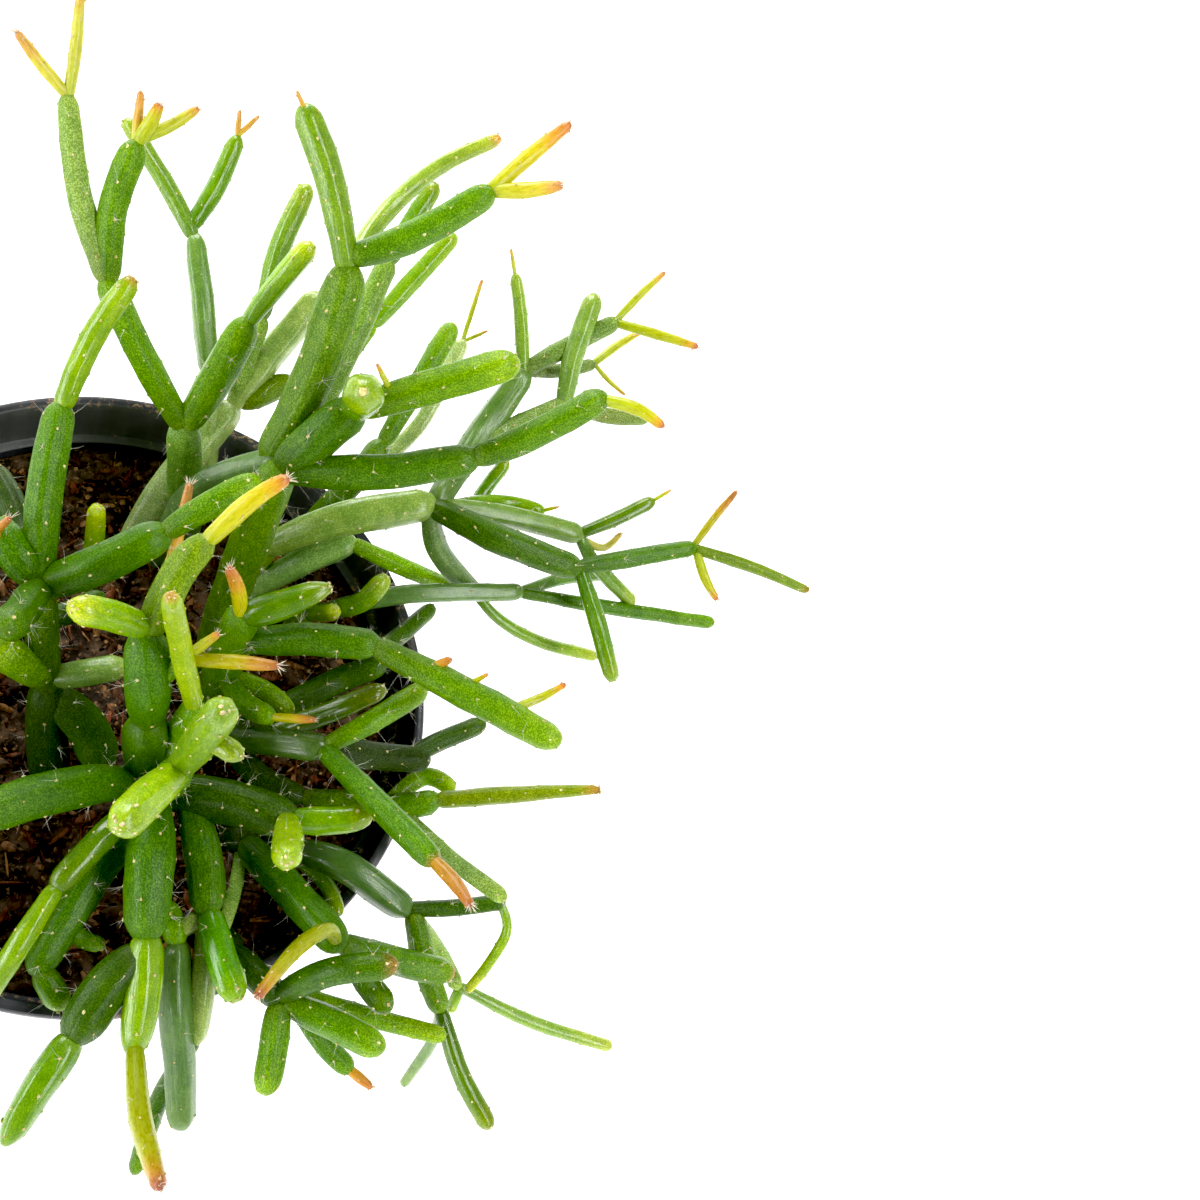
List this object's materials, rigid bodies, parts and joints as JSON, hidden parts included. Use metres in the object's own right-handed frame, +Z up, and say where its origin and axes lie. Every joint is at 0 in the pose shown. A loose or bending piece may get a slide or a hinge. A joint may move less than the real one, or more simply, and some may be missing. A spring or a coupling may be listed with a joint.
{
  "type": "potted mistletoe cactus",
  "caption": "Mistletoe cactus with jointed, sausage-shaped green stems and yellow young tips, spreading over the rim of a round black nursery pot filled with soil.",
  "frame": {"origin": "middle of the pot's flat base, on the surface it stands on", "axes": "+Z up along the pot's axis; +X to the side where the long trailing stems reach over the rim; +Y to the side of the tall upright stems"},
  "size_m": [0.262, 0.233, 0.189],
  "materials": {
    "pot_plastic": "satin",
    "potting_soil": "matte",
    "cactus_stem": "satin"
  },
  "bodies": {
    "root": {"pot": "pot_plastic", "soil": "potting_soil", "stem_centre": "cactus_stem", "stem_left": "cactus_stem", "stem_sprout": "cactus_stem", "stem_back_left": "cactus_stem", "stem_tall": "cactus_stem", "stem_back_low": "cactus_stem", "stem_right": "cactus_stem", "stem_inner_right": "cactus_stem", "stem_low_right": "cactus_stem", "stem_front_right": "cactus_stem", "stem_front_low": "cactus_stem", "stem_front_trailing": "cactus_stem", "stem_left_wide": "cactus_stem", "stem_left_back": "cactus_stem", "stem_left_rear": "cactus_stem", "stem_left_front": "cactus_stem", "stem_left_low": "cactus_stem", "stem_left_tall": "cactus_stem"}
  },
  "joints": []
}
